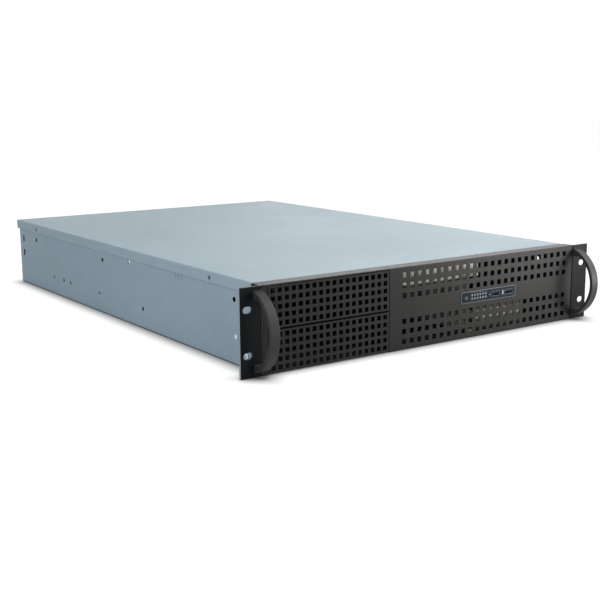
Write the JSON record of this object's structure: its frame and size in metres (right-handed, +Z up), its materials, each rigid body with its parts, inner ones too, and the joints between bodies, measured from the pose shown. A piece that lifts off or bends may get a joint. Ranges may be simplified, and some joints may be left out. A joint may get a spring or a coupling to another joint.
{
  "type": "rackmount server case",
  "caption": "Empty 2U rackmount server case with perforated black front, side handles, sliding metal lid, drive bays, fan wall and card slots.",
  "frame": {"origin": "centre of the four rack slots, in the rear face of the ears", "axes": "+Z up, +Y from the front to the rear, +X to the right seen from the front"},
  "size_m": [0.4826, 0.681, 0.088],
  "materials": {
    "zinc_sheet": "satin",
    "black_powder_coat": "matte",
    "black_handle": "satin",
    "black_screw": "satin",
    "zinc_screw": "satin",
    "brass": "satin",
    "bezel_plastic": "satin",
    "button_plastic": "satin",
    "switch_plastic": "matte",
    "clear_lens": "gloss",
    "circuit_board": "satin",
    "socket_metal": "polished",
    "socket_plastic": "satin"
  },
  "bodies": {
    "case": {"base_tray": "zinc_sheet", "front_panel": "black_powder_coat", "bay_cover_upper": "black_powder_coat", "bay_cover_lower": "black_powder_coat", "panel_studs": "zinc_screw", "panel_nuts": "zinc_screw", "ear_bracket_left": "black_powder_coat", "handle_left": "black_handle", "ear_bracket_right": "black_powder_coat", "handle_right": "black_handle", "handle_screws": "black_screw", "ear_screws": "black_screw", "io_bezel": "bezel_plastic", "led_lenses": "clear_lens", "status_lens": "clear_lens", "io_board": "circuit_board", "io_posts": "zinc_screw", "io_board_screws": "zinc_screw", "power_switch": "switch_plastic", "reset_switch": "switch_plastic", "usb_shells": "socket_metal", "usb_tongues": "socket_plastic", "bay_bracket_left": "black_powder_coat", "bay_bracket_right": "black_powder_coat", "bay_rivet": "zinc_screw", "bay_screw": "zinc_screw", "hdd_cage": "zinc_sheet", "hdd_cage_screws": "zinc_screw", "ssd_bracket": "zinc_sheet", "ssd_bracket_screws": "zinc_screw", "fan_wall": "zinc_sheet", "fan_wall_screws": "zinc_screw", "rear_panel": "zinc_sheet", "slot_cover_1": "zinc_sheet", "slot_cover_2": "zinc_sheet", "slot_cover_3": "zinc_sheet", "slot_cover_4": "zinc_sheet", "slot_cover_5": "zinc_sheet", "slot_cover_6": "zinc_sheet", "slot_cover_7": "zinc_sheet", "slot_rail": "zinc_sheet", "slot_screws": "zinc_screw", "board_standoffs": "brass"},
    "lid": {"top_lid": "zinc_sheet", "lid_screws": "zinc_screw", "lid_nuts": "zinc_screw"},
    "power_button": {"power_button": "button_plastic"},
    "reset_button": {"reset_button": "button_plastic"}
  },
  "joints": [
    {"name": "lid_slide", "type": "slide", "parent": "case", "child": "lid", "axis": [0, 1, 0], "range_m": [0, 0.02]},
    {"name": "power_press", "type": "slide", "parent": "case", "child": "power_button", "axis": [0, 1, 0], "range_m": [0, 0.0012], "stiffness_N_per_m": 1500},
    {"name": "reset_press", "type": "slide", "parent": "case", "child": "reset_button", "axis": [0, 1, 0], "range_m": [0, 0.0008], "stiffness_N_per_m": 1500}
  ]
}
